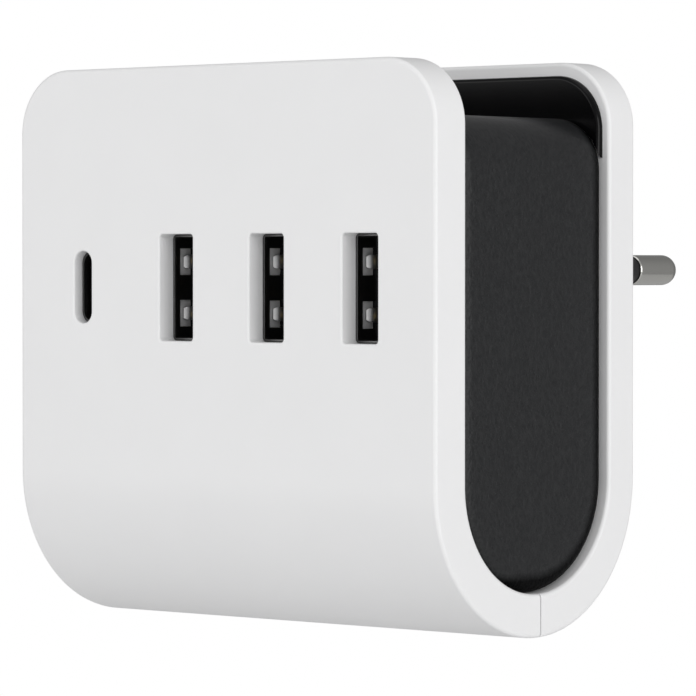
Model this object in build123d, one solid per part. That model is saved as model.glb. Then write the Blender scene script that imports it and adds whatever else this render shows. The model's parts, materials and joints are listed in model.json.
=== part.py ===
from build123d import *
import os
from math import atan2, degrees, sqrt

# USB wall charger with one USB-C and three USB-A ports and a fixed two-pin Europlug.
# Everything is drawn in a body frame first: X right, Y from the front face to the
# wall, Z up from the bottom of the bend. At the end each piece is moved so that the
# origin is the middle of the plug's end face, between the two pins. Millimetres.

# ---- outer body ----
width = 70.0
height = 69.5
depth = 37.5
rear_rise = 0.4          # the rear plate stands this much above the front one
rim = 5.3                # thickness of the white U along its side faces
core_shift = 0.3         # the U's hollow and the core sit this far behind the middle
wall = 2.4               # white wall between the rims
rim_width = 3.0          # how far each rim reaches in from the side face
top_rim_extra = 0.5      # how much wider the rim is along a plate's top
plate_corner_r = 8.0
edge_r = 0.5
window_edge_r = 0.7
seam_from_front = 19.4
seam_gap = 0.14
lip_thickness = 1.2
lip_reach = 2.0

# ---- black core ----
channel_depth = 6.6      # from the plates' tops down to the core's top
core_inset = 0.6         # core side face behind the white side face
core_wall = 2.0
core_edge_r = 1.4
core_corner_r = 6.4
cover_margin = 3.4
fit = 0.1                # clearance between fixed plastic pieces

# ---- liners on the plates' inner faces ----
liner_proud = 0.8
liner_side = 1.1         # white strip left beside the liner
liner_top = 1.65         # white strip left above the liner
liner_corner_r = 6.9
liner_step = 1.0
liner_edge_r = 0.5

# ---- ports ----
port_below_top = 27.4
usb_c_x = -23.8
usb_a_x = (-7.45, 7.79, 23.03)
usb_a_window = (5.7, 13.2)
usb_c_window = (3.06, 9.06)
usb_a_size = (5.64, 13.1)
usb_c_size = (3.0, 8.94)
socket_length = 14.0
socket_sheet = 0.3
socket_gap = 0.05        # between the white wall and the socket's mouth
usb_c_forward = 1.0      # the USB-C mouth stands this much nearer the front face
tongue_thickness = 1.84
tongue_height = 11.1
tongue_side_gap = 0.67
tongue_recess = 1.0
contact_thickness = 0.2
spring_window = (6.4, 3.3)
spring_height = 1.7
spring_spacing = 6.4

# ---- plug, CEE 7/16 ----
pin_height = 44.2        # pin axes above the bottom of the bend
plinth = 4.4
plinth_size = (54.0, 32.0)
plinth_corner_r = 8.0
nose = 17.5
nose_size = (35.3, 13.7)
spigot_size = (33.0, 12.0)
pin_d = 4.0
pin_core_d = 2.9
sleeve_d = 3.6
pin_length = 19.0
sleeve_length = 10.0
sleeve_buried = 3.0
pin_spacing_base = 18.6
pin_spacing_tip = 17.5
sleeve_recess = 0.3
plug_screw_xz = (14.0, 2.8)
plug_screw_d = 2.0
plug_screw_head_d = 3.8
plug_screw_length = 9.5

# ---- boards ----
board = 1.6
board_edge_gap = 1.0
board_top_extra = 1.4    # more room above the boards than beside them
board_behind_gap = 1.6   # between the main board and the core's rear wall
standoff_d = 4.0
standoff_in = 3.0
stud_d = 2.0
stud_grip = 1.2
board_corner_r = 5.0
part_gap = 0.5           # least room between a component and what it faces

# ---- worked out from the values above ----
bend_r = depth / 2
floor_z = height - channel_depth
port_z = height - port_below_top
core_in = rim + fit
core_half = width / 2 - core_inset
cavity_half = core_half - core_wall
cavity_inset = core_in + core_wall
cavity_front = cavity_inset + core_shift
cavity_back = depth - cavity_inset + core_shift
cavity_top = floor_z - core_wall
cover_half = core_half - cover_margin
cover_bottom = bend_r + part_gap
cover_top = floor_z - core_wall - cover_margin / 2
seam_front = seam_from_front - seam_gap / 2
seam_back = seam_from_front + seam_gap / 2
socket_y = wall + socket_gap
usb_c_y = socket_y - usb_c_forward
port_board_y = socket_y + socket_length + socket_gap
board_gap_y = port_board_y + board
main_board_back = cavity_back - board_behind_gap
main_board_y = main_board_back - board
board_half = cavity_half - board_edge_gap
board_top = cavity_top - board_edge_gap - board_top_extra
port_board_bottom = port_z - usb_a_size[1] / 2 - 2.0
main_board_bottom = bend_r - 2.0
plug_y = depth + plinth + nose
standoff_x = board_half - standoff_in
standoff_z = (port_board_bottom + standoff_in, board_top - standoff_in)
pin_tilt = degrees(atan2((pin_spacing_base - pin_spacing_tip) / 2, pin_length))
place = Pos(0, -plug_y, -pin_height)


# ---- helpers ----
def block(x0, x1, y0, y1, z0, z1):
    """A box between two corners."""
    return Pos((x0 + x1) / 2, (y0 + y1) / 2, (z0 + z1) / 2) * Box(x1 - x0, y1 - y0, z1 - z0)


def rod(x, z, y0, y1, d):
    """A round bar along Y."""
    return Pos(x, (y0 + y1) / 2, z) * Rot(90, 0, 0) * Cylinder(d / 2, y1 - y0)


def prism(face, x, z, y0, y1):
    """A face drawn on X and Z, run from y0 to y1."""
    return extrude(Pos(x, y0, z) * Rot(90, 0, 0) * face, amount=y1 - y0, dir=(0, 1, 0))


def side_outline(inset, top, shift):
    """The body's outline seen from the side, drawn in by inset and moved back by shift."""
    front = (inset + shift, bend_r)
    back = (depth - inset + shift, bend_r)
    sides = Polyline(back, (depth - inset + shift, top), (inset + shift, top), front)
    bend = ThreePointArc(front, (depth / 2 + shift, inset), back)
    return Plane.YZ * make_face([sides, bend])


def tub(inset, top, half_width, shift=0):
    """The side outline, drawn in by inset, run to half_width on both sides."""
    return extrude(side_outline(inset, top, shift), amount=half_width, both=True)


def along(edge, axis):
    """True for a straight edge parallel to axis."""
    return edge.geom_type == GeomType.LINE and abs(abs(edge.tangent_at(0.5).dot(axis.direction)) - 1) < 1e-4


def group(pieces):
    """Separate solids that share one node."""
    return Compound([piece.solid() for piece in pieces])


def save(name, shape):
    """Writes one sub-part in the part's own frame."""
    solids = (place * shape).solids()
    body = solids[0] if len(solids) == 1 else Compound(list(solids))
    export_step(body, f"parts/{name}.step")


# ---- white outer shell: two halves of one U ----
def white_band(top):
    band = tub(0, top, width / 2) - tub(rim, top + 1, width / 2 + 1, core_shift)
    return fillet([e for e in band.edges() if along(e, Axis.Y)], plate_corner_r)


def soften(half, seam_y):
    """Rounds the outer edges and leaves the seam and the tangent lines alone."""
    sharp = []
    for edge in half.edges():
        on_seam = abs(edge.center().Y - seam_y) < 0.01
        tangent = along(edge, Axis.Y) or (along(edge, Axis.X) and abs(edge.center().Z - bend_r) < 0.01)
        if not on_seam and not tangent:
            sharp.append(edge)
    return fillet(sharp, edge_r)


def shell_pocket(plate_top):
    """The space between the white wall and the core, inside the rims."""
    top = plate_top - rim_width - top_rim_extra
    return tub(wall, top, width / 2 - rim_width) - tub(rim, top + 1, width, core_shift)


def window(size, x, rounding):
    return prism(RectangleRounded(size[0], size[1], rounding), x, port_z, -1, wall + 1)


def front_shell():
    half = white_band(height) & block(-width, width, -1, seam_front, -1, height + 1)
    half = soften(half, seam_front) - shell_pocket(height)
    for x in usb_a_x:
        half = half - window(usb_a_window, x, 0.5)
    half = half - window(usb_c_window, usb_c_x, usb_c_window[0] / 2 - 0.02)
    mouths = []
    for edge in half.edges():
        flat = abs(edge.center().Y) < 0.001 and abs(edge.center().Z - port_z) < usb_a_window[1]
        if flat and abs(edge.center().X) < width / 2 - 2:
            mouths.append(edge)
    return fillet(mouths, window_edge_r)


def lip_slab(outer, y0):
    """A stretch of thin wall inside the bend, beside the seam."""
    half = width / 2 - rim_width - fit
    slab = tub(outer, bend_r + 1, half) - tub(wall + lip_thickness, bend_r + 2, width)
    return slab & block(-half, half, y0, seam_back + lip_reach, 0, bend_r)


def rear_shell():
    top = height + rear_rise
    half = white_band(top) & block(-width, width, seam_back, depth + 1, -1, top + 1)
    half = soften(half, seam_back) - shell_pocket(top)
    half = half + lip_slab(wall + fit, seam_front - lip_reach) + lip_slab(wall - fit, seam_back)
    spigot = SlotOverall(spigot_size[0] + 2 * fit, spigot_size[1] + 2 * fit)
    return half - prism(spigot, 0, pin_height, cavity_back, depth + 1)


# ---- black core housing, its cover and the liners ----
def screw_spots():
    x, z = plug_screw_xz
    return [(sx * x, pin_height + sz * z) for sx in (-1, 1) for sz in (-1, 1)]


def standoff_spots():
    return [(sx * standoff_x, z) for sx in (-1, 1) for z in standoff_z]


def pin_x(y):
    """Distance of a pin's axis from the middle, at a place along Y."""
    return pin_spacing_base / 2 + (plug_y - y) * (pin_spacing_base - pin_spacing_tip) / 2 / pin_length


def core_blank():
    core = tub(core_in, floor_z, core_half, core_shift)
    corners = [e for e in core.edges() if along(e, Axis.Y) and e.center().Z > floor_z - 1]
    core = fillet(corners, core_corner_r)
    sharp = []
    for edge in core.edges():
        tangent = along(edge, Axis.Y) or (along(edge, Axis.X) and abs(edge.center().Z - bend_r) < 0.01)
        if not tangent:
            sharp.append(edge)
    return fillet(sharp, core_edge_r)


def core_housing():
    cavity = tub(cavity_inset, cavity_top, cavity_half, core_shift)
    top_corners = [e for e in cavity.edges() if along(e, Axis.Y) and e.center().Z > cavity_top - 1]
    core = core_blank() - fillet(top_corners, core_corner_r - core_wall)
    core = core - block(-cover_half, cover_half, 0, cavity_front + 1, cover_bottom, cover_top)
    for x, z in standoff_spots():
        core = core + rod(x, z, main_board_back, cavity_back + fit, standoff_d + 0.4)
        core = core - rod(x, z, main_board_back - 1, cavity_back + stud_grip + fit, stud_d + 0.04)
    for x, z in screw_spots():
        core = core - rod(x, z, cavity_back - 1, cavity_back + core_wall + 1, plug_screw_d + 0.4)
        core = core - rod(x, z, cavity_back - 1, cavity_back + 1.3, plug_screw_head_d + 0.3)
    for side in (-1, 1):
        x = side * pin_x(cavity_back + core_wall / 2)
        core = core - rod(x, pin_height, cavity_back - 1, cavity_back + core_wall + 1, pin_core_d + 0.8)
    return core


def core_cover():
    gap = 2 * fit
    cover = block(
        -cover_half + gap, cover_half - gap, core_in + core_shift + fit, cavity_front - fit,
        cover_bottom + gap, cover_top - gap,
    )
    for x in usb_a_x:
        cover = cover - prism(Rectangle(usb_a_size[0] + gap, usb_a_size[1] + gap), x, port_z, 0, cavity_front + 1)
    return cover - prism(Rectangle(usb_c_size[0] + gap, usb_c_size[1] + gap), usb_c_x, port_z, 0, cavity_front + 1)


def liner(plate_top):
    """The front plate's liner, for a plate of the given height; it also fills in round the core's corners."""
    half = width / 2 - liner_side
    top = plate_top - liner_top
    foot = floor_z + fit / 2
    seat = rim + core_shift
    face = seat + liner_proud
    panel = block(-half, half, seat, face, foot - liner_corner_r, top)
    panel = fillet([e for e in panel.edges() if along(e, Axis.Y) and e.center().Z > top - 1], liner_corner_r)
    inner = [e for e in panel.edges() if abs(e.center().Y - face) < 0.001 and e.center().Z > foot - 6]
    hollow_half = core_half + fit / 2
    hollow = block(-hollow_half, hollow_half, 0, depth, foot - 3 * liner_corner_r, foot)
    shoulders = [e for e in hollow.edges() if along(e, Axis.Y) and e.center().Z > foot - 1]
    panel = fillet(inner, liner_edge_r) - fillet(shoulders, core_corner_r + fit / 2)
    step_half = width / 2 - rim_width - fit
    step_top = plate_top - rim_width - top_rim_extra - fit
    return panel + block(-step_half, step_half, seat - liner_step, seat + 0.2, foot, step_top)


def to_rear(shape):
    """The mirror image on the other side of the hollow's middle plane."""
    return mirror(shape, Plane.XZ.offset(-depth / 2 - core_shift))


# ---- plug ----
def on_pin_axis(shape, side):
    """Places a shape drawn along +Y from the plug's end face onto a pin's axis."""
    return Pos(side * pin_spacing_base / 2, plug_y, pin_height) * Rot(0, 0, side * pin_tilt) * shape


def along_pin(y0, y1, d):
    return rod(0, 0, y0, y1, d)


root_length = plug_y - main_board_back - 0.65


def pin(side):
    straight = along_pin(-root_length, sleeve_length, pin_core_d)
    tip = along_pin(sleeve_length, pin_length - pin_d / 2, pin_d)
    end = Pos(0, pin_length - pin_d / 2, 0) * Sphere(pin_d / 2)
    return on_pin_axis(straight + tip + end, side)


def pin_sleeve(side):
    tube = along_pin(-sleeve_buried, sleeve_length - 0.02, sleeve_d)
    return on_pin_axis(tube - along_pin(-sleeve_buried - 1, sleeve_length + 1, pin_core_d + 0.02), side)


def plug_base():
    pad = prism(RectangleRounded(*plinth_size, plinth_corner_r), 0, pin_height, depth + fit / 2, depth + plinth)
    pad = fillet(pad.faces().sort_by(Axis.Y)[-1].edges(), 1.5)
    stem = prism(SlotOverall(*nose_size), 0, pin_height, depth + 1, plug_y)
    stem = fillet(stem.faces().sort_by(Axis.Y)[-1].edges(), 0.8)
    spigot = prism(SlotOverall(*spigot_size), 0, pin_height, cavity_back + core_wall + fit / 2, depth + 1)
    base = pad + stem + spigot
    for side in (-1, 1):
        base = base - on_pin_axis(along_pin(-root_length - 2, 1, pin_core_d + 0.04), side)
        base = base - on_pin_axis(along_pin(-sleeve_buried - 0.02, 1, sleeve_d + 0.04), side)
        base = base - on_pin_axis(along_pin(-0.5, 1, sleeve_d + 2 * sleeve_recess), side)
    for x, z in screw_spots():
        base = base - rod(x, z, cavity_back, cavity_back + core_wall + plug_screw_length, plug_screw_d + 0.04)
    return base


def plug_screws():
    screws = []
    for x, z in screw_spots():
        head = rod(x, z, cavity_back + 0.1, cavity_back + 1.28, plug_screw_head_d)
        shank = rod(x, z, cavity_back + 1, cavity_back + plug_screw_length, plug_screw_d)
        screws.append(head + shank)
    return group(screws)


def pin_contact(side):
    """A spring plate on the back of the main board that the pin's root presses on."""
    x = side * pin_x(main_board_back)
    plate = block(x - 3, x + 3, main_board_back + 0.02, main_board_back + 0.42, pin_height - 4, pin_height + 5)
    return plate + rod(x, pin_height, main_board_back + 0.3, main_board_back + 0.6, 2.4)


# ---- USB sockets ----
def spring_finger(x_out, inward, z):
    """A spring cut from the socket's side: fixed at its rear end, bent in near its tip."""
    y0 = socket_y + 1.7
    root = socket_y + 1.0 + spring_window[0] + 0.2
    points = [
        (x_out, root),
        (x_out + inward * socket_sheet, root),
        (x_out + inward * (socket_sheet + 0.42), y0 + 0.9),
        (x_out + inward * socket_sheet, y0),
        (x_out + inward * 0.05, y0),
        (x_out + inward * 0.42, y0 + 0.9),
    ]
    face = make_face(Polyline(*points, close=True))
    return extrude(Pos(0, 0, z - spring_height / 2) * face, amount=spring_height, dir=(0, 0, 1))


def usb_a_shell(x):
    y1 = socket_y + socket_length
    size_x, size_z = usb_a_size
    inner = Rectangle(size_x - 2 * socket_sheet, size_z - 2 * socket_sheet)
    shell = prism(RectangleRounded(size_x, size_z, 0.5), x, port_z, socket_y, y1)
    shell = shell - prism(inner, x, port_z, socket_y - 1, y1 - socket_sheet)
    for side in (-1, 1):
        for z in (port_z - spring_spacing / 2, port_z + spring_spacing / 2):
            y0 = socket_y + 1.0
            cut_x = x + side * (size_x / 2 - socket_sheet / 2)
            shell = shell - block(
                cut_x - 0.4, cut_x + 0.4, y0, y0 + spring_window[0], z - spring_window[1] / 2, z + spring_window[1] / 2
            )
            shell = shell + spring_finger(x + side * size_x / 2, -side, z)
    return shell


def usb_a_inside(x):
    """Room inside one USB-A shell: left, right and rear faces."""
    half = usb_a_size[0] / 2 - socket_sheet
    return x - half, x + half, socket_y + socket_length - socket_sheet


def usb_a_tongue(x):
    left, right, back = usb_a_inside(x)
    face_x = right - tongue_side_gap - tongue_thickness
    half_z = usb_a_size[1] / 2 - socket_sheet - 0.02
    base = block(left + 0.02, right - 0.02, back - 4.0, back - 0.02, port_z - half_z, port_z + half_z)
    blade = block(
        face_x, face_x + tongue_thickness, socket_y + tongue_recess, back - 3.9,
        port_z - tongue_height / 2, port_z + tongue_height / 2,
    )
    nose_edges = blade.edges().filter_by(Axis.Z).group_by(Axis.Y)[0]
    return base + fillet(nose_edges, 0.4)


def usb_a_contacts(x):
    left, right, back = usb_a_inside(x)
    face_x = right - tongue_side_gap - tongue_thickness
    strips = []
    for z in (-3.5, -1.0, 1.0, 3.5):
        strips.append(
            block(
                face_x - contact_thickness, face_x - 0.005, socket_y + tongue_recess + 1.2, back - 4.02,
                port_z + z - 0.5, port_z + z + 0.5,
            )
        )
    return group(strips)


def usb_c_outline(inset):
    return Rot(0, 0, 90) * SlotOverall(usb_c_size[1] - 2 * inset, usb_c_size[0] - 2 * inset)


def usb_c_shell():
    y1 = socket_y + socket_length
    shell = prism(usb_c_outline(0), usb_c_x, port_z, usb_c_y, y1)
    return shell - prism(usb_c_outline(socket_sheet), usb_c_x, port_z, usb_c_y - 1, y1 - socket_sheet)


usb_c_blade = (0.7, 6.69)


def usb_c_tongue():
    back = socket_y + socket_length - socket_sheet
    base = prism(usb_c_outline(socket_sheet + 0.02), usb_c_x, port_z, back - 8.0, back - 0.02)
    half_x = usb_c_blade[0] / 2
    half_z = usb_c_blade[1] / 2
    blade = block(
        usb_c_x - half_x, usb_c_x + half_x, usb_c_y + tongue_recess, back - 7.9, port_z - half_z, port_z + half_z
    )
    return base + fillet(blade.edges().filter_by(Axis.Z).group_by(Axis.Y)[0], 0.2)


def usb_c_contacts():
    strips = []
    back = socket_y + socket_length - socket_sheet - 8.02
    for side in (-1, 1):
        inner = usb_c_x + side * (usb_c_blade[0] / 2 + 0.005)
        outer = inner + side * 0.08
        for i in range(12):
            z = port_z + (i - 5.5) * 0.5
            strips.append(
                block(min(inner, outer), max(inner, outer), usb_c_y + tongue_recess + 0.8, back, z - 0.13, z + 0.13)
            )
    return group(strips)


# ---- boards, standoffs and header ----
header_size = (14.0, 5.0)
header_pin_d = 0.64
header_z = board_top - 4.0


def header_spots():
    return [(2.2 * (i - 2.5), header_z) for i in range(6)]


def round_top(sheet):
    """Rounds a board's two upper corners, to clear the core's inside corners."""
    corners = sheet.edges().filter_by(Axis.Y).group_by(Axis.Z)[-1]
    return fillet(corners, board_corner_r)


def port_board():
    sheet = block(-board_half, board_half, port_board_y, port_board_y + board, port_board_bottom, board_top)
    sheet = round_top(sheet)
    for x, z in standoff_spots():
        sheet = sheet - rod(x, z, port_board_y - 1, port_board_y + board + 1, stud_d + 0.3)
    for x, z in header_spots():
        sheet = sheet - rod(x, z, port_board_y - 1, port_board_y + board + 1, header_pin_d + 0.2)
    return sheet


def main_board():
    sheet = block(-board_half, board_half, main_board_y, main_board_back, main_board_bottom, board_top)
    sheet = round_top(sheet)
    for x, z in standoff_spots():
        sheet = sheet - rod(x, z, main_board_y - 1, main_board_back + 1, stud_d + 0.3)
    for x, z in header_spots():
        sheet = sheet - rod(x, z, main_board_y - 1, main_board_back + 1, header_pin_d + 0.2)
    return sheet


def standoffs():
    pieces = []
    for x, z in standoff_spots():
        hexagon = RegularPolygon(standoff_d / 2, 6)
        post = prism(hexagon, x, z, board_gap_y + 0.02, main_board_y - 0.02)
        post = post - rod(x, z, board_gap_y - 1, board_gap_y + 4, stud_d + 0.04)
        post = post + rod(x, z, main_board_y - 0.1, cavity_back + stud_grip, stud_d)
        pieces.append(post)
    return group(pieces)


def port_board_screws():
    pieces = []
    for x, z in standoff_spots():
        head = rod(x, z, port_board_y - 1.2, port_board_y - 0.02, 3.4)
        pieces.append(head + rod(x, z, port_board_y - 0.1, board_gap_y + 3.5, stud_d))
    return group(pieces)


def header_body():
    half_x, half_z = header_size[0] / 2, header_size[1] / 2
    body = block(-half_x, half_x, board_gap_y + 0.02, main_board_y - 0.02, header_z - half_z, header_z + half_z)
    for x, z in header_spots():
        body = body - rod(x, z, port_board_y, main_board_back, header_pin_d + 0.04)
    return body


def header_pins():
    return group([rod(x, z, port_board_y - 0.6, main_board_back + 0.6, header_pin_d) for x, z in header_spots()])


def insulating_sheet():
    half = board_half - 1
    sheet = block(-half, half, cavity_back - 0.35, cavity_back - 0.05, main_board_bottom + 2, board_top)
    for x, z in standoff_spots():
        sheet = sheet - rod(x, z, main_board_y, depth, standoff_d + 0.9)
    for side in (-1, 1):
        sheet = sheet - rod(side * pin_x(cavity_back), pin_height, main_board_y, depth, pin_core_d + 1.4)
    return sheet


# ---- transformer: its box is the room under the port board ----
transformer_half = 12.0
transformer_top = port_board_bottom - 1.5
transformer_bottom = bend_r - 5.0
transformer_front = cavity_front + 1.5
transformer_back = main_board_y - 0.3
transformer_mid = ((transformer_front + transformer_back) / 2, (transformer_bottom + transformer_top) / 2)
transformer_rise = transformer_top - transformer_bottom
leg = transformer_rise / 6
centre_leg = transformer_rise / 3
core_deep = (transformer_back - transformer_front) * 0.8
bobbin_wall = 0.8
primary_share = 0.56     # of the winding room, the rest is the secondary's


def ring_x(inner_y, inner_z, thickness, half_length):
    """A rectangular tube along X round the transformer's middle."""
    y, z = transformer_mid
    outer = Box(2 * half_length, inner_y + 2 * thickness, inner_z + 2 * thickness)
    outer = fillet(outer.edges().filter_by(Axis.X), min(1.0, thickness))
    return Pos(0, y, z) * (outer - Box(3 * half_length, inner_y, inner_z))


def transformer_core():
    y, z = transformer_mid
    halves = []
    for side in (-1, 1):
        back = Pos(side * (transformer_half - leg / 2), y, z) * Box(leg, core_deep, transformer_rise)
        reach = transformer_half - 0.05
        middle = Pos(side * (reach / 2 + 0.05), y, z) * Box(reach, centre_leg, centre_leg)
        half = back + middle
        for edge in (-1, 1):
            rise = z + edge * (transformer_rise - leg) / 2
            half = half + Pos(side * (reach / 2 + 0.05), y, rise) * Box(reach, core_deep, leg)
        halves.append(half)
    return group(halves)


winding_half = transformer_half - leg - 1.2
bobbin_bore = centre_leg + 2 * fit
winding_room = transformer_rise / 2 - leg - bobbin_bore / 2 - fit - bobbin_wall
primary_build = winding_room * primary_share
secondary_build = winding_room - primary_build


def transformer_bobbin():
    y, z = transformer_mid
    bobbin = ring_x(bobbin_bore, bobbin_bore, bobbin_wall, winding_half + 0.8)
    flange_build = primary_build + secondary_build + bobbin_wall
    flange = bobbin_bore + 2 * flange_build
    hollow = Pos(0, y, z) * Box(4 * transformer_half, bobbin_bore, bobbin_bore)
    for side in (-1, 1):
        plate = Pos(side * (winding_half + 0.4), y, z) * Box(0.8, flange, flange)
        bobbin = bobbin + (plate - hollow)
    return bobbin


def transformer_primary():
    inner = bobbin_bore + 2 * bobbin_wall + 0.02
    return ring_x(inner, inner, primary_build - 0.1, winding_half - 0.02)


def transformer_secondary():
    inner = bobbin_bore + 2 * bobbin_wall + 2 * primary_build + 0.02
    return ring_x(inner, inner, secondary_build - 0.1, winding_half - 0.02)


# ---- components on the main board ----
bulk_d = 8.0
bulk_x = (board_half - 13.2, board_half - 4.4)
under_board = port_board_bottom - 1.5
bulk_z = under_board - bulk_d / 2
output_d = 6.3
output_spots = ((13.5, port_z + 4.0), (20.8, port_z + 4.0), (13.5, port_z - 3.6), (20.8, port_z - 3.6))
component_height = main_board_y - board_gap_y - part_gap


def bulk_capacitors():
    front = cavity_front + 2.5
    return group([rod(x, bulk_z, front, main_board_y - 0.05, bulk_d) for x in bulk_x])


def output_capacitors():
    front = main_board_y - component_height
    return group([rod(x, z, front, main_board_y - 0.05, output_d) for x, z in output_spots])


x_capacitor_size = (13.0, 11.0, 5.4)
choke_d = 11.5
choke_hole_d = 4.6
choke_turn = 1.2         # how far the wire stands out from the ring
choke_x = -(board_half - 8.5)
choke_z = under_board - x_capacitor_size[2] - part_gap - choke_d / 2
choke_y = main_board_y - 3.8
varistor_d = 7.0
varistor_z = bulk_z - bulk_d / 2 - part_gap - varistor_d / 2


def choke_core():
    outer = rod(choke_x, choke_z, choke_y - 2.4, choke_y + 2.4, choke_d - 2 * choke_turn)
    return outer - rod(choke_x, choke_z, choke_y - 3, choke_y + 3, choke_hole_d)


def choke_windings():
    coils = []
    middle = (choke_d - 2 * choke_turn + choke_hole_d) / 4
    for side in (-1, 1):
        for i in range(5):
            turn = Pos(middle, 0, 0) * Rot(90, 0, 0) * (Box(3.3, 1.1, 6.2) - Box(2.6, 2.0, 4.86))
            angle = 90 * side + (i - 2) * 32
            coils.append(Pos(choke_x, choke_y, choke_z) * Rot(0, angle, 0) * turn)
    return group(coils)


def x_capacitor():
    size_x, size_y, size_z = x_capacitor_size
    body = block(
        choke_x - size_x / 2, choke_x + size_x / 2, main_board_y - size_y, main_board_y - 0.05,
        under_board - size_z, under_board,
    )
    return fillet(body.edges().filter_by(Axis.Y), 0.5)


y_capacitor_d = 7.0
y_capacitor_spot = (-13.2, port_z - 3.0)


def y_capacitor():
    x, z = y_capacitor_spot
    return rod(x, z, main_board_y - 3.2, main_board_y - 0.6, y_capacitor_d)


def varistor():
    return rod(bulk_x[0] + 3.5, varistor_z, main_board_y - 3.8, main_board_y - 0.6, varistor_d)


fuse_spot = (-13.0, main_board_y - 2.2, port_z + 5.4)
fuse_length = 8.2
fuse_d = 3.0
fuse_cap_d = 3.4
fuse_cap_length = 1.6


def fuse():
    x, y, z = fuse_spot
    body = Pos(x, y, z) * Rot(0, 90, 0) * Cylinder(fuse_d / 2, fuse_length - 0.2)
    for side in (-1, 1):
        cap_x = x + side * (fuse_length - fuse_cap_length) / 2
        body = body + Pos(cap_x, y, z) * Rot(0, 90, 0) * Cylinder(fuse_cap_d / 2, fuse_cap_length)
    return body


bridge_spot = (-21.5, port_z - 0.5)
bridge_size = (6.0, 2.2, 8.0)


def bridge_rectifier():
    x, z = bridge_spot
    half_x, half_z = bridge_size[0] / 2, bridge_size[2] / 2
    body = block(x - half_x, x + half_x, main_board_y - bridge_size[1], main_board_y - 0.05, z - half_z, z + half_z)
    return chamfer(body.edges().filter_by(Axis.X).group_by(Axis.Y)[0], 0.4)


chip_top = main_board_y - 1.6
chip_spots = ((-3.4, port_z - 1.5), (4.4, port_z - 1.5))


def power_chips():
    return group([block(x - 3, x + 3, chip_top, main_board_y - 0.05, z - 2.5, z + 2.5) for x, z in chip_spots])


def thermal_pad():
    x0 = chip_spots[0][0] - 3
    x1 = chip_spots[1][0] + 3
    z = chip_spots[0][1]
    return block(x0, x1, chip_top - 0.55, chip_top - 0.05, z - 2.5, z + 2.5)


def heat_spreader():
    x0 = chip_spots[0][0] - 4
    x1 = chip_spots[1][0] + 4
    z = chip_spots[0][1]
    plate = block(x0, x1, chip_top - 1.4, chip_top - 0.6, z - 6.5, z + 6.0)
    return fillet(plate.edges().filter_by(Axis.Y), 0.8)


def port_controllers():
    """Small chips on the back of the port board, above the sockets' rows."""
    z = board_top - 4.5
    return group([block(x - 2, x + 2, board_gap_y + 0.05, board_gap_y + 1.1, z - 2, z + 2) for x in (-20.0, -13.0, 20.0)])


# ---- write every sub-part ----
os.makedirs("parts", exist_ok=True)
save("front_shell", front_shell())
save("rear_shell", rear_shell())
save("core_housing", core_housing())
save("core_cover", core_cover())
save("front_liner", liner(height))
save("rear_liner", to_rear(liner(height + rear_rise)))
save("plug_base", plug_base())
save("plug_screws", plug_screws())
for name, side in (("left", -1), ("right", 1)):
    save(f"pin_{name}", pin(side))
    save(f"pin_sleeve_{name}", pin_sleeve(side))
    save(f"pin_contact_{name}", pin_contact(side))
for number, x in enumerate(usb_a_x, start=1):
    save(f"usb_a_shell_{number}", usb_a_shell(x))
    save(f"usb_a_tongue_{number}", usb_a_tongue(x))
    save(f"usb_a_contacts_{number}", usb_a_contacts(x))
save("usb_c_shell", usb_c_shell())
save("usb_c_tongue", usb_c_tongue())
save("usb_c_contacts", usb_c_contacts())
save("port_board", port_board())
save("main_board", main_board())
save("standoffs", standoffs())
save("port_board_screws", port_board_screws())
save("header_body", header_body())
save("header_pins", header_pins())
save("insulating_sheet", insulating_sheet())
save("transformer_core", transformer_core())
save("transformer_bobbin", transformer_bobbin())
save("transformer_primary", transformer_primary())
save("transformer_secondary", transformer_secondary())
save("bulk_capacitors", bulk_capacitors())
save("output_capacitors", output_capacitors())
save("choke_core", choke_core())
save("choke_windings", choke_windings())
save("x_capacitor", x_capacitor())
save("y_capacitor", y_capacitor())
save("varistor", varistor())
save("fuse", fuse())
save("bridge_rectifier", bridge_rectifier())
save("power_chips", power_chips())
save("thermal_pad", thermal_pad())
save("heat_spreader", heat_spreader())
save("port_controllers", port_controllers())
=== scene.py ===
import bpy
import bmesh
import json
from math import asin, atan2, cos, pi, radians, sin
from mathutils import Matrix, Vector


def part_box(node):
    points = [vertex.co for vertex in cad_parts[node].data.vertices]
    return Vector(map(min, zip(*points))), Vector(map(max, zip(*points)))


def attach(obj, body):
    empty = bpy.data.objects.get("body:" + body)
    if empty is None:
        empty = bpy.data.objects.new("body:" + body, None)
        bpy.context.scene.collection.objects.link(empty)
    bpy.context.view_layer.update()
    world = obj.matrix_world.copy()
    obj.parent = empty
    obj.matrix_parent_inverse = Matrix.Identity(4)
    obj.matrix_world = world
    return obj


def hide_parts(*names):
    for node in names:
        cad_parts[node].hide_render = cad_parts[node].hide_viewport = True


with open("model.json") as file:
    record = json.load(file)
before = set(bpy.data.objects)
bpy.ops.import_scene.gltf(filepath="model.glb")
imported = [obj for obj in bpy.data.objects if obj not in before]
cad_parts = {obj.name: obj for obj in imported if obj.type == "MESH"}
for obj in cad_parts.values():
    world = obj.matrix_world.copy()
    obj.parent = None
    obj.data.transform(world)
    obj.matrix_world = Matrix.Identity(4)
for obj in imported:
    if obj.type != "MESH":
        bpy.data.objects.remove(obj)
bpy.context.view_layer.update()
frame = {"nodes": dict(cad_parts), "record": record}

# ---- sizes, in metres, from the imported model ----
MM = 0.001
shell_low, shell_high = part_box("front_shell")
back_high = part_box("rear_shell")[1]
core_low, core_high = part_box("core_housing")
front_y = shell_low.y
back_y = back_high.y
mid_y = (front_y + back_y) / 2
half_x = shell_high.x
top_z = shell_high.z
bend_r = (back_y - front_y) / 2
bend_z = shell_low.z + bend_r
FIT = 0.1 * MM
core_mid = (core_low.y + core_high.y) / 2
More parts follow.
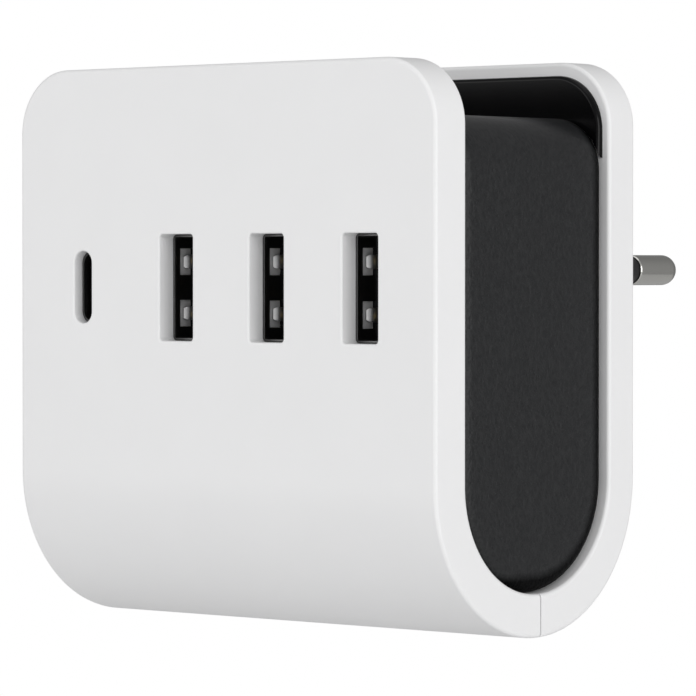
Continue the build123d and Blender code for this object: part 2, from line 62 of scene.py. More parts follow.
hollow_r = (core_high.y - core_low.y) / 2 + FIT
front_rim = core_low.y - front_y - FIT
rear_rim = back_y - core_high.y - FIT
PLATE_CORNER_R = 8.0 * MM
EDGE_R = 0.5 * MM
SEAM_GAP = 0.14 * MM
SEAM_EDGE_R = 0.08 * MM
CORE_CORNER_R = 6.4 * MM
CORE_EDGE_R = 1.8 * MM
LINER_CORNER_R = 6.9 * MM
LINER_EDGE_R = 0.5 * MM
LINER_SIDE = 1.1 * MM
LINER_TUCK = 0.3 * MM
port_z = sum(v.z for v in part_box("usb_a_shell_1")) / 2
USB_A_WINDOW = (5.7 * MM, 13.2 * MM)
USB_C_WINDOW = (3.06 * MM, 9.06 * MM)
WINDOW_CORNER_R = 0.5 * MM
WINDOW_MOUTH_R = 0.7 * MM
WINDOW_ZONE = 8.0 * MM
PLATE_MARGIN = 4.0 * MM
OVAL_BELOW = 4.0 * MM
SHEET = 0.3 * MM
SOCKET_CORNER_R = 0.5 * MM

# points closer than these count as being in one place
NEAR = 1e-6
MERGE = 1e-7
X = Vector((1, 0, 0))
Y = Vector((0, 1, 0))
Z = Vector((0, 0, 1))


# ---- materials ----
def node(tree, kind, **sockets):
    made = tree.nodes.new("ShaderNode" + kind)
    for name, value in sockets.items():
        made.inputs[name.replace("_", " ")].default_value = value
    return made


def multiplied(tree, one, other):
    """The product of two sockets, taken part by part."""
    made = node(tree, "VectorMath")
    made.operation = "MULTIPLY"
    tree.links.new(one, made.inputs[0])
    tree.links.new(other, made.inputs[1])
    return made.outputs["Vector"]


def finish(name, base, rough, metal=0.0, gloss=0.5, spread=0.05, grain=1800.0, lift=0.02, stretch=(1, 1, 1)):
    """A moulded, plated or coated finish: colour and roughness drift a little over a fine grain."""
    made = bpy.data.materials.new(name)
    made.use_nodes = True
    tree = made.node_tree
    link = tree.links.new
    shader = tree.nodes["Principled BSDF"]
    shader.inputs["Metallic"].default_value = metal
    shader.inputs["Specular IOR Level"].default_value = gloss
    place = node(tree, "TexCoord")
    turn = node(tree, "Mapping", Scale=stretch)
    link(place.outputs["Object"], turn.inputs["Vector"])
    fine = node(tree, "TexNoise", Scale=grain, Detail=4.0, Roughness=0.55)
    broad = node(tree, "TexNoise", Scale=grain / 30, Detail=2.0)
    link(turn.outputs["Vector"], fine.inputs["Vector"])
    link(place.outputs["Object"], broad.inputs["Vector"])
    tint = node(tree, "ValToRGB")
    ends = tint.color_ramp.elements
    ends[0].position = 0.3
    ends[1].position = 0.7
    ends[0].color = [c * (1 - spread) for c in base] + [1]
    ends[1].color = [min(1.0, c * (1 + spread)) for c in base] + [1]
    link(broad.outputs["Fac"], tint.inputs["Fac"])
    link(tint.outputs["Color"], shader.inputs["Base Color"])
    sheen = node(tree, "MapRange", To_Min=rough * 0.92, To_Max=min(1.0, rough * 1.08))
    link(fine.outputs["Fac"], sheen.inputs["Value"])
    link(sheen.outputs["Result"], shader.inputs["Roughness"])
    bump = node(tree, "Bump", Strength=0.5, Distance=lift * MM)
    link(fine.outputs["Fac"], bump.inputs["Height"])
    link(bump.outputs["Normal"], shader.inputs["Normal"])
    return made


GRAIN_HEIGHT = 0.22 * MM
WRINKLE_BEND = 0.4 * MM
GRAIN_FADES = (6.0 * MM, 1.5 * MM)
CORE_GLOSS = 0.27
# painted shade: the core's colour and gloss darken between these two distances from the shell's hollow, to
# this share, as if in the shell's shade
SHADE_FROM = 2.7 * MM
SHADE_TO = 1.6 * MM
SHADE_SHARE = 0.14


def grained_black(name):
    """Spark-eroded black plastic: short upright wrinkles that fade out towards the smooth top, with painted
    shade darkening it near the shell.
    """
    made = bpy.data.materials.new(name)
    made.use_nodes = True
    tree = made.node_tree
    link = tree.links.new
    shader = tree.nodes["Principled BSDF"]
    place = node(tree, "TexCoord")
    turn = node(tree, "Mapping", Scale=(1.0, 1.0, 0.75))
    link(place.outputs["Object"], turn.inputs["Vector"])
    bend = node(tree, "TexNoise", Scale=900.0, Detail=2.0)
    link(turn.outputs["Vector"], bend.inputs["Vector"])
    pull = node(tree, "VectorMath")
    pull.operation = "MULTIPLY_ADD"
    pull.inputs[1].default_value = (WRINKLE_BEND, WRINKLE_BEND, WRINKLE_BEND)
    link(bend.outputs["Color"], pull.inputs[0])
    link(turn.outputs["Vector"], pull.inputs[2])
    cells = node(tree, "TexVoronoi", Scale=1900.0)
    cells.feature = "SMOOTH_F1"
    link(pull.outputs["Vector"], cells.inputs["Vector"])
    fine = node(tree, "TexNoise", Scale=3600.0, Detail=5.0, Roughness=0.6)
    link(turn.outputs["Vector"], fine.inputs["Vector"])
    blend = node(tree, "Mix", Factor=0.45)
    link(cells.outputs["Distance"], blend.inputs["A"])
    link(fine.outputs["Fac"], blend.inputs["B"])
    split = node(tree, "SeparateXYZ")
    link(place.outputs["Object"], split.inputs["Vector"])
    fade_low, fade_high = [core_high.z - below for below in GRAIN_FADES]
    smooth_top = node(tree, "MapRange", From_Min=fade_low, From_Max=fade_high, To_Min=1.0, To_Max=0.12)
    link(split.outputs["Z"], smooth_top.inputs["Value"])
    height = node(tree, "Math")
    height.operation = "MULTIPLY"
    link(blend.outputs["Result"], height.inputs[0])
    link(smooth_top.outputs["Result"], height.inputs[1])
    bump = node(tree, "Bump", Strength=1.0, Distance=GRAIN_HEIGHT)
    link(height.outputs["Value"], bump.inputs["Height"])
    link(bump.outputs["Normal"], shader.inputs["Normal"])
    tint = node(tree, "ValToRGB")
    ends = tint.color_ramp.elements
    ends[0].position = 0.25
    ends[0].color = (0.009, 0.0095, 0.0105, 1)
    ends[1].position = 0.75
    ends[1].color = (0.020, 0.0205, 0.0215, 1)
    link(blend.outputs["Result"], tint.inputs["Fac"])
    # distance out from the centre of the bend, counted on the rear side and below only, which places the
    # painted shade
    behind = node(tree, "MapRange", From_Min=core_mid, From_Max=core_mid + 1.0, To_Max=1.0)
    link(split.outputs["Y"], behind.inputs["Value"])
    below = node(tree, "MapRange", From_Min=bend_z - 1.0, From_Max=bend_z, To_Min=-1.0, To_Max=0.0)
    link(split.outputs["Z"], below.inputs["Value"])
    out = node(tree, "CombineXYZ")
    link(behind.outputs["Result"], out.inputs["Y"])
    link(below.outputs["Result"], out.inputs["Z"])
    reach = node(tree, "VectorMath")
    reach.operation = "LENGTH"
    link(out.outputs["Vector"], reach.inputs[0])
    near, far = hollow_r - SHADE_FROM, hollow_r - SHADE_TO
    # painted shade: colour and specular fall to SHADE_SHARE near the shell, where the core lies in the
    # shell's shade
    painted_shade = node(tree, "MapRange", From_Min=near, From_Max=far, To_Min=1.0, To_Max=SHADE_SHARE)
    link(reach.outputs["Value"], painted_shade.inputs["Value"])
    link(multiplied(tree, tint.outputs["Color"], painted_shade.outputs["Result"]), shader.inputs["Base Color"])
    # the gloss is also cut in the painted shade
    soft = node(tree, "Math")
    soft.operation = "MULTIPLY"
    soft.inputs[1].default_value = CORE_GLOSS
    link(painted_shade.outputs["Result"], soft.inputs[0])
    link(soft.outputs["Value"], shader.inputs["Specular IOR Level"])
    dull = node(tree, "MapRange", To_Min=0.3, To_Max=0.55)
    link(height.outputs["Value"], dull.inputs["Value"])
    link(dull.outputs["Result"], shader.inputs["Roughness"])
    return made


def paint_light_on_springs(made):
    """Paints light on the springs: brightens the sheet steel where its mesh is marked as a spring, a lit copy
    of the socket steel, which is darkened as painted shade.
    """
    tree = made.node_tree
    link = tree.links.new
    shader = tree.nodes["Principled BSDF"]
    mark = node(tree, "Attribute")
    mark.attribute_name = "spring"
    for name, plain, bright in (("Base Color", 1.0, 7.0), ("Roughness", 1.0, 0.9)):
        held = shader.inputs[name].links[0].from_socket
        share = node(tree, "MapRange", To_Min=plain, To_Max=bright)
        link(mark.outputs["Fac"], share.inputs["Value"])
        link(multiplied(tree, held, share.outputs["Result"]), shader.inputs[name])


# colour, roughness, metal, gloss, spread of colour, grain per metre, grain height in mm and stretch
FINISHES = {
    "white_shell": ((0.83, 0.83, 0.835), 0.42, 0.0, 0.4, 0.006, 2600.0, 0.006, (1, 1, 1)),
    "black_liner": ((0.002, 0.002, 0.0023), 0.2, 0.0, 0.14, 0.1, 260.0, 0.01, (1, 1, 1)),
    "plug_plastic": ((0.014, 0.014, 0.016), 0.46, 0.0, 0.4, 0.15, 3200.0, 0.03, (1, 1, 1)),
    "pin_metal": ((0.55, 0.545, 0.52), 0.2, 1.0, 0.5, 0.05, 1500.0, 0.004, (1, 6, 1)),
    "sleeve_plastic": ((0.010, 0.010, 0.011), 0.38, 0.0, 0.4, 0.1, 2400.0, 0.01, (1, 1, 1)),
    # socket_steel is darker than plain steel as painted shade inside the sockets and on their rims, and its
    # springs get painted light
    "socket_steel": ((0.11, 0.11, 0.11), 0.34, 1.0, 0.5, 0.06, 1400.0, 0.006, (1, 1, 8)),
    "tongue_plastic": ((0.012, 0.012, 0.013), 0.5, 0.0, 0.5, 0.15, 2600.0, 0.01, (1, 1, 1)),
}
OWN = {name: finish(name, *values) for name, values in FINISHES.items()}
OWN["black_core"] = grained_black("black_core")
# painted light on the springs, a lit copy of the shaded socket steel
paint_light_on_springs(OWN["socket_steel"])
# roughness, metal, grain per metre and grain height in mm for the slots with no finish of their own
BY_CLASS = {
    "matte_plastic": (0.5, 0.0, 2200.0, 0.02),
    "gloss_plastic": (0.22, 0.0, 900.0, 0.01),
    "brushed_steel": (0.32, 1.0, 1600.0, 0.006),
    "brass": (0.3, 1.0, 1800.0, 0.008),
    "aluminium": (0.38, 1.0, 1200.0, 0.01),
    "ceramic": (0.62, 0.0, 2600.0, 0.03),
    "rubber": (0.8, 0.0, 2400.0, 0.03),
}


def wound_copper(name, base):
    """Enamelled wire laid side by side: fine ridges round the core's length."""
    made = finish(name, base, 0.3, 1.0, spread=0.12, grain=1500.0, lift=0.01)
    tree = made.node_tree
    wires = node(tree, "TexWave", Scale=420.0)
    place = [n for n in tree.nodes if n.type == "TEX_COORD"][0]
    bump = [n for n in tree.nodes if n.type == "BUMP"][0]
    tree.links.new(place.outputs["Object"], wires.inputs["Vector"])
    tree.links.new(wires.outputs["Fac"], bump.inputs["Height"])
    bump.inputs["Distance"].default_value = 0.08 * MM
    return made


def dress_the_frame():
    """Every carried-over node gets its slot's finish."""
    slots = {m["slot"]: m for m in frame["record"]["materials"]}
    made = dict(OWN)
    for part in frame["record"]["subparts"]:
        name = part["material_slot"]
        if name not in made:
            info = slots[name]
            rough, metal, grain, lift = BY_CLASS[info["class"]]
            if name == "copper_wire":
                made[name] = wound_copper(name, info["base_color"][:3])
            else:
                made[name] = finish(name, info["base_color"][:3], rough, metal, grain=grain, lift=lift)
        target = frame["nodes"][part["node"]]
        target.data.materials.clear()
        target.data.materials.append(made[name])


# ---- mesh helpers ----
def as_piece(bm, name, slot, replaced, sharp=35.0, weighted=True):
    """Turns a finished bmesh into a piece that stands for one CAD node."""
    bmesh.ops.remove_doubles(bm, verts=bm.verts, dist=MERGE)
    bmesh.ops.recalc_face_normals(bm, faces=bm.faces)
    for face in bm.faces:
        face.smooth = True
    for edge in bm.edges:
        if len(edge.link_faces) == 2 and edge.calc_face_angle(0) > radians(sharp):
            edge.smooth = False
    mesh = bpy.data.meshes.new(name)
    bm.to_mesh(mesh)
    bm.free()
    mesh.materials.append(OWN[slot])
    piece = bpy.data.objects.new(name, mesh)
    bpy.context.scene.collection.objects.link(piece)
    if weighted:
        even = piece.modifiers.new("even_normals", "WEIGHTED_NORMAL")
        even.keep_sharp = True
    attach(piece, "root")
    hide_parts(replaced)
    return piece


def box_into(bm, low, high):
    """Adds a box between two corners and returns its vertices."""
    size = Vector(high) - Vector(low)
    middle = (Vector(high) + Vector(low)) / 2
    matrix = Matrix.Translation(middle) @ Matrix.Diagonal((size.x, size.y, size.z, 1))
    return bmesh.ops.create_cube(bm, size=1.0, matrix=matrix)["verts"]


def runs_along(edge, axis):
    return abs((edge.verts[0].co - edge.verts[1].co).normalized().dot(axis)) > 0.999


def middle_of(edge):
    return (edge.verts[0].co + edge.verts[1].co) / 2


def rounded(bm, edges, offset, segments, clamp=True):
    bmesh.ops.bevel(
        bm, geom=edges, offset=offset, segments=segments, profile=0.5,
        affect="EDGES", material=-1, clamp_overlap=clamp,
    )


def sliced(bm, faces, axis, place):
    """Divides some faces along the plane at this distance up an axis."""
    geom = faces + list({e for f in faces for e in f.edges}) + list({v for f in faces for v in f.verts})
    bmesh.ops.bisect_plane(bm, geom=geom, dist=1e-8, plane_co=axis * place, plane_no=axis)


def carved(bm, cutter):
    """Cuts one closed mesh out of another and returns what is left."""
    pair = []
    for source in (bm, cutter):
        mesh = bpy.data.meshes.new("cut")
        source.to_mesh(mesh)
        source.free()
        pair.append(bpy.data.objects.new("cut", mesh))
        bpy.context.scene.collection.objects.link(pair[-1])
    cut = pair[0].modifiers.new("cut", "BOOLEAN")
    cut.operation = "DIFFERENCE"
    cut.object = pair[1]
    cut.solver = "EXACT"
    left = bmesh.new()
    left.from_object(pair[0], bpy.context.evaluated_depsgraph_get())
    for spare in pair:
        bpy.data.objects.remove(spare, do_unlink=True)
    return left


def turned(bm, outline, middle, axis):
    """Spins an outline of (radius, length) points round an axis through middle."""
    side = X if abs(axis.dot(X)) < 0.9 else Z
    side = (side - axis * side.dot(axis)).normalized()
    verts = [bm.verts.new(middle + side * r + axis * a) for r, a in outline]
    edges = [bm.edges.new(pair) for pair in zip(verts, verts[1:])]
    bmesh.ops.spin(
        bm, geom=verts + edges, cent=middle, axis=axis,
        angle=2 * pi, steps=64, use_merge=True, use_duplicate=False,
    )


# ---- white shell: two halves of one U ----
USB_A = ["usb_a_shell_1", "usb_a_shell_2", "usb_a_shell_3"]
SOCKETS = USB_A + ["usb_c_shell"]


def half_band(outer_y, inner_y, reach, top, seam_y):
    """A plate with its part of the bend, swept from the plate's foot to the seam."""
    bm = bmesh.new()
    low_y, high_y = sorted((outer_y, inner_y))
    outward = -1 if outer_y < inner_y else 1
    box_into(bm, (-half_x, low_y, bend_z), (half_x, high_y, top))
    places = ((-half_x, low_y), (half_x, low_y), (half_x, high_y), (-half_x, high_y))
    foot = bm.faces.new([bm.verts.new((x, y, bend_z)) for x, y in places])
    geom = [foot] + list(foot.edges) + list(foot.verts)
    angle = -outward * reach
    bmesh.ops.spin(bm, geom=geom, cent=(0, mid_y, bend_z), axis=X, angle=angle, steps=44, use_duplicate=False)
    bmesh.ops.remove_doubles(bm, verts=bm.verts, dist=MERGE)
    for vert in bm.verts:
        along = vert.co.y - mid_y
        down = bend_z - vert.co.z
        if down < MERGE:
            continue
        turn = atan2(down, outward * along)
        if (along * along + down * down) ** 0.5 < bend_r - MM:
            vert.co.y = core_mid + outward * hollow_r * cos(turn)
            vert.co.z = bend_z - hollow_r * sin(turn)
        if turn > reach - 1e-4:
            vert.co.y = seam_y
    bm.normal_update()
    level = [f for f in bm.faces if abs(f.normal.z) > 0.99]
    inside = [f for f in level if abs(f.calc_center_median().z - bend_z) < MERGE]
    bmesh.ops.delete(bm, geom=inside, context="FACES_ONLY")
    bmesh.ops.recalc_face_normals(bm, faces=bm.faces)
    corners = [e for e in bm.edges if runs_along(e, Y) and middle_of(e).z > top - NEAR]
    rounded(bm, corners, PLATE_CORNER_R, 22)
    return bm


def soften_outside(bm):
    """Rounds every outer edge by half a millimetre and the seam's edges by less."""
    bm.normal_update()
    rest = []
    for edge in bm.edges:
        if len(edge.link_faces) != 2 or edge.calc_face_angle(0) < radians(40):
            continue
        on_seam = any(is_seam_face(face) for face in edge.link_faces)
        if not in_window(edge) and not on_seam:
            rest.append(edge)
    rounded(bm, rest, EDGE_R, 4)
    bm.normal_update()
    seam = []
    for edge in bm.edges:
        if len(edge.link_faces) == 2 and edge.calc_face_angle(0) > radians(25):
            if any(is_seam_face(face) for face in edge.link_faces):
                seam.append(edge)
    rounded(bm, seam, SEAM_EDGE_R, 2)


def in_window(edge):
    place = middle_of(edge)
    return abs(place.z - port_z) < WINDOW_ZONE and abs(place.x) < half_x - PLATE_MARGIN


def is_seam_face(face):
    place = face.calc_center_median()
    return place.z < bend_z - bend_r * 0.5 and abs(face.normal.y) > 0.98 and abs(face.normal.x) < 0.1


def cut_windows(bm):
    """Opens one window for each socket through the front plate."""
    openings = []
    for name in SOCKETS:
        low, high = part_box(name)
        wide, tall = USB_A_WINDOW if name in USB_A else USB_C_WINDOW
        x = (low.x + high.x) / 2
        openings.append((x - wide / 2, x + wide / 2, port_z - tall / 2, port_z + tall / 2))
    lines = [(X, place) for o in openings for place in o[:2]]
    lines += [(Z, place) for place in sorted({round(p, 7) for o in openings for p in o[2:]})]
    for axis, place in lines:
        bm.normal_update()
        flat = [f for f in bm.faces if abs(f.normal.y) > 0.99 and f.calc_center_median().z > bend_z]
        sliced(bm, flat, axis, place)
    for left, right, low, high in openings:
        bm.normal_update()
        gone = []
        for face in bm.faces:
            at = face.calc_center_median()
            if abs(face.normal.y) > 0.99 and left < at.x < right and low < at.z < high:
                gone.append(face)
        bmesh.ops.delete(bm, geom=gone, context="FACES")
        rims = [e for e in bm.edges if len(e.link_faces) == 1]
        bmesh.ops.bridge_loops(bm, edges=rims)
    bm.normal_update()
    for left, right, low, high in openings:
        corners = []
        for edge in bm.edges:
            at = middle_of(edge)
            inside = left - NEAR < at.x < right + NEAR and low - NEAR < at.z < high + NEAR
            if inside and runs_along(edge, Y) and edge.calc_face_angle(0) > radians(60):
                corners.append(edge)
        if right - left < OVAL_BELOW:
            rounded(bm, corners, (right - left) * 0.49, 10)
        else:
            rounded(bm, corners, WINDOW_CORNER_R, 4)
    bm.normal_update()
    mouths = []
    for edge in bm.edges:
        on_front = abs(middle_of(edge).y - front_y) < NEAR
        if on_front and in_window(edge) and edge.calc_face_angle(0) > radians(60):
            mouths.append(edge)
    rounded(bm, mouths, WINDOW_MOUTH_R, 5)


def white_front():
    reach = pi / 2 + asin((shell_high.y - mid_y) / bend_r)
    bm = half_band(front_y, front_y + front_rim, reach, top_z, shell_high.y)
    cut_windows(bm)
    soften_outside(bm)
    as_piece(bm, "white_front", "white_shell", "front_shell")


def white_back():
    seam_back = shell_high.y + SEAM_GAP
    reach = pi / 2 - asin((seam_back - mid_y) / bend_r)
    bm = half_band(back_y, back_y - rear_rim, reach, back_high.z, seam_back)
    soften_outside(bm)
    as_piece(bm, "white_back", "white_shell", "rear_shell")


# ---- black core ----
def black_core():
    """The filled U: full-round foot, large top corners, softened all round its sides."""
    bm = bmesh.new()
    box_into(bm, (-core_high.x, core_low.y, core_low.z), (core_high.x, core_high.y, core_high.z))
    foot = [e for e in bm.edges if runs_along(e, X) and middle_of(e).z < core_low.z + NEAR]
    rounded(bm, foot, (core_high.y - core_low.y) / 2 - NEAR, 40)
    bmesh.ops.remove_doubles(bm, verts=bm.verts, dist=6 * NEAR)
    crown = [e for e in bm.edges if runs_along(e, Y) and middle_of(e).z > core_high.z - NEAR]
    rounded(bm, crown, CORE_CORNER_R, 20)
    bm.normal_update()
    ridges = [e for e in bm.edges if len(e.link_faces) == 2 and e.calc_face_angle(0) > radians(60)]
    rounded(bm, ridges, CORE_EDGE_R, 9, clamp=False)
    as_piece(bm, "black_core", "black_core", "core_housing", sharp=50.0)


# ---- liners ----
def liner_panel(name, node_name):
    """A thin glossy panel with large top corners, which fills in round the core's rounded shoulders."""
    low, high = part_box(node_name)
    inward = 1 if low.y < mid_y else -1
    on_plate = front_y + front_rim if inward > 0 else back_y - rear_rim
    face_y = high.y if inward > 0 else low.y
    bm = bmesh.new()
    ys = sorted((on_plate, face_y))
    reach = half_x - LINER_SIDE
    box_into(bm, (-reach, ys[0], low.z - LINER_CORNER_R), (reach, ys[1], high.z))
    crown = [e for e in bm.edges if runs_along(e, Y) and middle_of(e).z > high.z - NEAR]
    rounded(bm, crown, LINER_CORNER_R, 20)
    bm.normal_update()
    edges = []
    for edge in bm.edges:
        if abs(middle_of(edge).y - face_y) < MERGE and edge.calc_face_angle(0) > radians(60):
            edges.append(edge)
    rounded(bm, edges, LINER_EDGE_R, 5)
    hollow = bmesh.new()
    edge_x = core_high.x - LINER_TUCK
    foot = low.z - 3 * LINER_CORNER_R
    box_into(hollow, (-edge_x, ys[0] - MM, foot), (edge_x, ys[1] + MM, core_high.z - LINER_TUCK))
    shoulders = [e for e in hollow.edges if runs_along(e, Y) and middle_of(e).z > core_high.z - MM]
    rounded(hollow, shoulders, CORE_CORNER_R - LINER_TUCK, 20)
    as_piece(carved(bm, hollow), name, "black_liner", node_name)


# ---- sockets ----
SPRING_WIDTH = 1.7 * MM
SPRING_HOLE = 3.3 * MM
SPRING_PITCH = 6.4 * MM
HOLE_START = 1.0 * MM
HOLE_LENGTH = 6.4 * MM
TIP_START = 1.7 * MM
# a spring's line from its tip to its root: share of the length, height in mm, share of the width
SPRING_SHAPE = (
    (0.0, 0.08, 0.72),
    (0.05, 0.30, 0.94),
    (0.10, 0.50, 1.0),
    (0.16, 0.67, 1.0),
    (0.22, 0.74, 1.0),
    (0.30, 0.70, 1.0),
    (0.45, 0.50, 1.0),
    (0.60, 0.30, 1.0),
    (0.80, 0.10, 1.0),
    (1.0, 0.0, 1.0),
)


def on_side_wall(face, wall_x):
    return abs(face.normal.x) > 0.99 and abs(face.calc_center_median().x - wall_x) < NEAR


def open_fronted(low, high, corner_r, segments):
    """A box with rounded long corners and no front face."""
    bm = bmesh.new()
    box_into(bm, low, high)
    bm.normal_update()
    bmesh.ops.delete(bm, geom=[f for f in bm.faces if f.normal.y < -0.99], context="FACES")
    rounded(bm, [e for e in bm.edges if runs_along(e, Y)], corner_r, segments)
    return bm


def as_sheet(piece, edge_r, segments):
    """Gives folded sheet its thickness and eases its cut edges."""
    skin = piece.modifiers.new("sheet_thickness", "SOLIDIFY")
    skin.thickness = SHEET
    skin.offset = -1.0
    soft = piece.modifiers.new("sheet_edges", "BEVEL")
    soft.width = edge_r
    soft.segments = segments
    soft.limit_method = "ANGLE"
    soft.angle_limit = radians(50)


def usb_a_socket(node_name):
    """A folded sheet box with four holding springs cut and bent out of its sides."""
    low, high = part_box(node_name)
    bm = open_fronted(low, high, SOCKET_CORNER_R, 3)
    lit = bm.verts.layers.float.new("spring")
    hole_y = low.y + HOLE_START
    root_y = hole_y + HOLE_LENGTH
    tip_y = low.y + TIP_START
    tip_run = root_y - tip_y
    steps = [tip_y + step[0] * tip_run for step in SPRING_SHAPE]
    centres = (port_z - SPRING_PITCH / 2, port_z + SPRING_PITCH / 2)
    lines = [(Y, hole_y)] + [(Y, y) for y in steps]
    for centre in centres:
        for off in (-SPRING_HOLE / 2, -SPRING_WIDTH / 2, SPRING_WIDTH / 2, SPRING_HOLE / 2):
            lines.append((Z, centre + off))
    for wall_x in (low.x, high.x):
        for axis, place in lines:
            bm.normal_update()
            flat = [f for f in bm.faces if on_side_wall(f, wall_x)]
            sliced(bm, flat, axis, place)
        bm.normal_update()
        gone = []
        for face in bm.faces:
            if not on_side_wall(face, wall_x):
                continue
            at = face.calc_center_median()
            off = min(abs(at.z - c) for c in centres)
            in_hole = off < SPRING_HOLE / 2 and hole_y < at.y < root_y
            is_spring = off < SPRING_WIDTH / 2 and at.y > tip_y
            if in_hole and not is_spring:
                gone.append(face)
        bmesh.ops.delete(bm, geom=gone, context="FACES")
        inward = 1 if wall_x < (low.x + high.x) / 2 else -1
        for vert in bm.verts:
            centre = min(centres, key=lambda c: abs(vert.co.z - c))
            off = vert.co.z - centre
            on_wall = abs(vert.co.x - wall_x) < NEAR
            if on_wall and abs(off) < SPRING_WIDTH / 2 + NEAR and tip_y - NEAR < vert.co.y < root_y - NEAR:
                along = (vert.co.y - tip_y) / tip_run
                rise, narrow = min(SPRING_SHAPE, key=lambda step: abs(step[0] - along))[1:]
                vert.co.x += inward * rise * MM
                vert.co.z = centre + off * narrow
                vert[lit] = 1.0
    mesh_name = node_name.replace("shell", "socket")
    piece = as_piece(bm, mesh_name, "socket_steel", node_name, sharp=45.0, weighted=False)
    as_sheet(piece, 0.06 * MM, 2)


def usb_c_socket():
    """A drawn oval sleeve, closed at its rear end, with its mouth's edge eased."""
    low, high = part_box("usb_c_shell")
    bm = open_fronted(low, high, (high.x - low.x) * 0.4995, 12)
    piece = as_piece(bm, "usb_c_socket", "socket_steel", "usb_c_shell", sharp=50.0, weighted=False)
    as_sheet(piece, 0.08 * MM, 3)


# ---- plug pins and their sleeves ----
PIN_R = 2.0 * MM
PIN_CORE_R = 1.45 * MM
SLEEVE_R = 1.8 * MM
SLEEVE_LENGTH = 10.0 * MM
SLEEVE_BURIED = 3.0 * MM
PIN_LENGTH = 19.0 * MM
PIN_BASE = 9.3 * MM
PIN_TIP = 8.75 * MM
PIN_EDGE = 0.12 * MM
PIN_STEP_GAP = 0.02 * MM
PIN_END_GAP = 0.1 * MM
SLEEVE_EDGE_R = 0.2 * MM
SLEEVE_FIT = 0.01 * MM


def pin_line(side):
    """A pin's root on the plug's end face and the way it points."""
    return X * side * PIN_BASE, Vector((side * (PIN_TIP - PIN_BASE), PIN_LENGTH, 0)).normalized()


def plug_pin(side, word):
    """A plated pin: thin inside its sleeve, full width past it, with a round tip."""
    root, axis = pin_line(side)
    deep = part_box(f"pin_{word}")[0].y + PIN_END_GAP
    step = SLEEVE_LENGTH + PIN_STEP_GAP
    outline = [(0, deep), (PIN_CORE_R, deep), (PIN_CORE_R, step)]
    outline += [(PIN_R - PIN_EDGE, step), (PIN_R, step + PIN_EDGE)]
    for i in range(17):
        turn = pi / 2 * i / 16
        outline.append((PIN_R * cos(turn), PIN_LENGTH - PIN_R + PIN_R * sin(turn)))
    bm = bmesh.new()
    turned(bm, outline, root, axis)
    as_piece(bm, f"plug_pin_{word}", "pin_metal", f"pin_{word}", weighted=False)


def pin_sleeve(side, word):
    """The black sleeve round the pin's inner half, its outer end rounded over."""
    root, axis = pin_line(side)
    inner = PIN_CORE_R + SLEEVE_FIT
    end = SLEEVE_LENGTH
    outline = [
        (inner, -SLEEVE_BURIED),
        (SLEEVE_R, -SLEEVE_BURIED),
        (SLEEVE_R, end - SLEEVE_EDGE_R),
        (SLEEVE_R - 0.3 * SLEEVE_EDGE_R, end - 0.3 * SLEEVE_EDGE_R),
        (SLEEVE_R - SLEEVE_EDGE_R, end),
        (inner, end),
        (inner, -SLEEVE_BURIED),
    ]
    bm = bmesh.new()
    turned(bm, outline, root, axis)
    as_piece(bm, f"insulating_sleeve_{word}", "sleeve_plastic", f"pin_sleeve_{word}", weighted=False)


# ---- build the pieces ----
dress_the_frame()
white_front()
white_back()
black_core()
liner_panel("front_liner_panel", "front_liner")
liner_panel("rear_liner_panel", "rear_liner")
for socket in USB_A:
    usb_a_socket(socket)
usb_c_socket()
for word, side in (("left", -1), ("right", 1)):
    plug_pin(side, word)
    pin_sleeve(side, word)


# ---- floor, light and camera ----
FLOOR_R = 0.65
FLOOR_DROP = 0.16
# how strongly the world lights the charger from behind it and from ahead of it
FILL_BEHIND = 0.24
FILL_AHEAD = 0.53
AHEAD = (0.67, -0.74, 0.0)
# name, place, width in metres and watts
LAMPS = (
    ("overhead", (0.1, mid_y - 0.1, 0.8), 0.6, 0.9),
    ("front_left", (-0.45, mid_y - 0.78, 0.15), 0.7, 2.6),
    ("right", (0.87, mid_y - 0.23, 0.1), 0.6, 3.9),
)
LENS = 225.9
EYE = (0.3692, -0.4459, 0.0008)
EYE_DOWN = 1.10
EYE_ROUND = 42


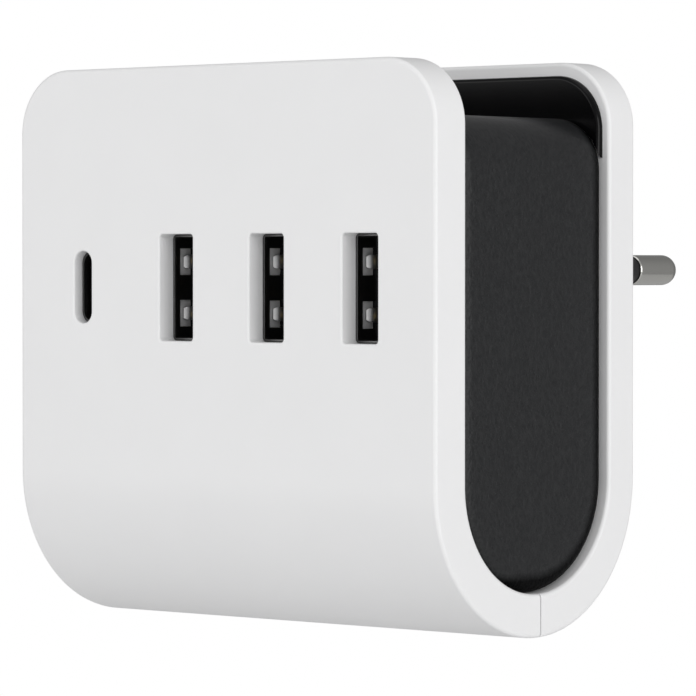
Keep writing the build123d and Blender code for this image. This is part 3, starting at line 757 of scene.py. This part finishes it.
def floor():
    """A pale round floor, some way under the plugged-in charger."""
    bm = bmesh.new()
    bmesh.ops.create_circle(bm, cap_ends=True, radius=FLOOR_R, segments=128)
    bmesh.ops.translate(bm, verts=bm.verts, vec=(0, mid_y, shell_low.z - FLOOR_DROP))
    mesh = bpy.data.meshes.new("floor")
    bm.to_mesh(mesh)
    bm.free()
    pale = bpy.data.materials.new("floor")
    pale.use_nodes = True
    shader = pale.node_tree.nodes["Principled BSDF"]
    shader.inputs["Base Color"].default_value = (0.88, 0.88, 0.88, 1)
    shader.inputs["Roughness"].default_value = 0.9
    mesh.materials.append(pale)
    ground = bpy.data.objects.new("floor", mesh)
    bpy.context.scene.collection.objects.link(ground)


def soft_box(name, place, size, watts):
    """A square lamp that faces the charger."""
    lamp = bpy.data.lights.new(name, "AREA")
    lamp.shape = "SQUARE"
    lamp.size = size
    lamp.energy = watts
    light = bpy.data.objects.new(name, lamp)
    bpy.context.scene.collection.objects.link(light)
    light.location = place
    light.rotation_mode = "QUATERNION"
    light.rotation_quaternion = (Vector((0, mid_y, 0)) - Vector(place)).to_track_quat("-Z", "Y")


def studio():
    """White surroundings and the three lamps."""
    world = bpy.data.worlds.new("studio")
    world.use_nodes = True
    tree = world.node_tree
    link = tree.links.new
    background = tree.nodes["Background"]
    background.inputs["Color"].default_value = (1, 1, 1, 1)
    # white as seen by the camera, dimmer as a light and dimmest from behind the charger
    way = node(tree, "TexCoord")
    ahead = node(tree, "VectorMath")
    ahead.operation = "DOT_PRODUCT"
    ahead.inputs[1].default_value = AHEAD
    link(way.outputs["Generated"], ahead.inputs[0])
    fill = node(tree, "MapRange", From_Min=-0.7, From_Max=0.4, To_Min=FILL_BEHIND, To_Max=FILL_AHEAD)
    link(ahead.outputs["Value"], fill.inputs["Value"])
    seen = node(tree, "LightPath")
    level = node(tree, "MapRange", To_Max=1.0)
    link(fill.outputs["Result"], level.inputs["To Min"])
    link(seen.outputs["Is Camera Ray"], level.inputs["Value"])
    link(level.outputs["Result"], background.inputs["Strength"])
    bpy.context.scene.world = world
    bpy.context.scene.view_settings.view_transform = "Standard"
    bpy.context.scene.view_settings.look = "None"
    for lamp in LAMPS:
        soft_box(*lamp)


def camera():
    data = bpy.data.cameras.new("camera")
    data.sensor_width = 36.0
    data.lens = LENS
    data.clip_start = 0.01
    data.clip_end = 20.0
    eye = bpy.data.objects.new("camera", data)
    bpy.context.scene.collection.objects.link(eye)
    eye.location = EYE
    eye.rotation_euler = (radians(90 - EYE_DOWN), 0, radians(EYE_ROUND))
    bpy.context.scene.camera = eye


floor()
studio()
camera()
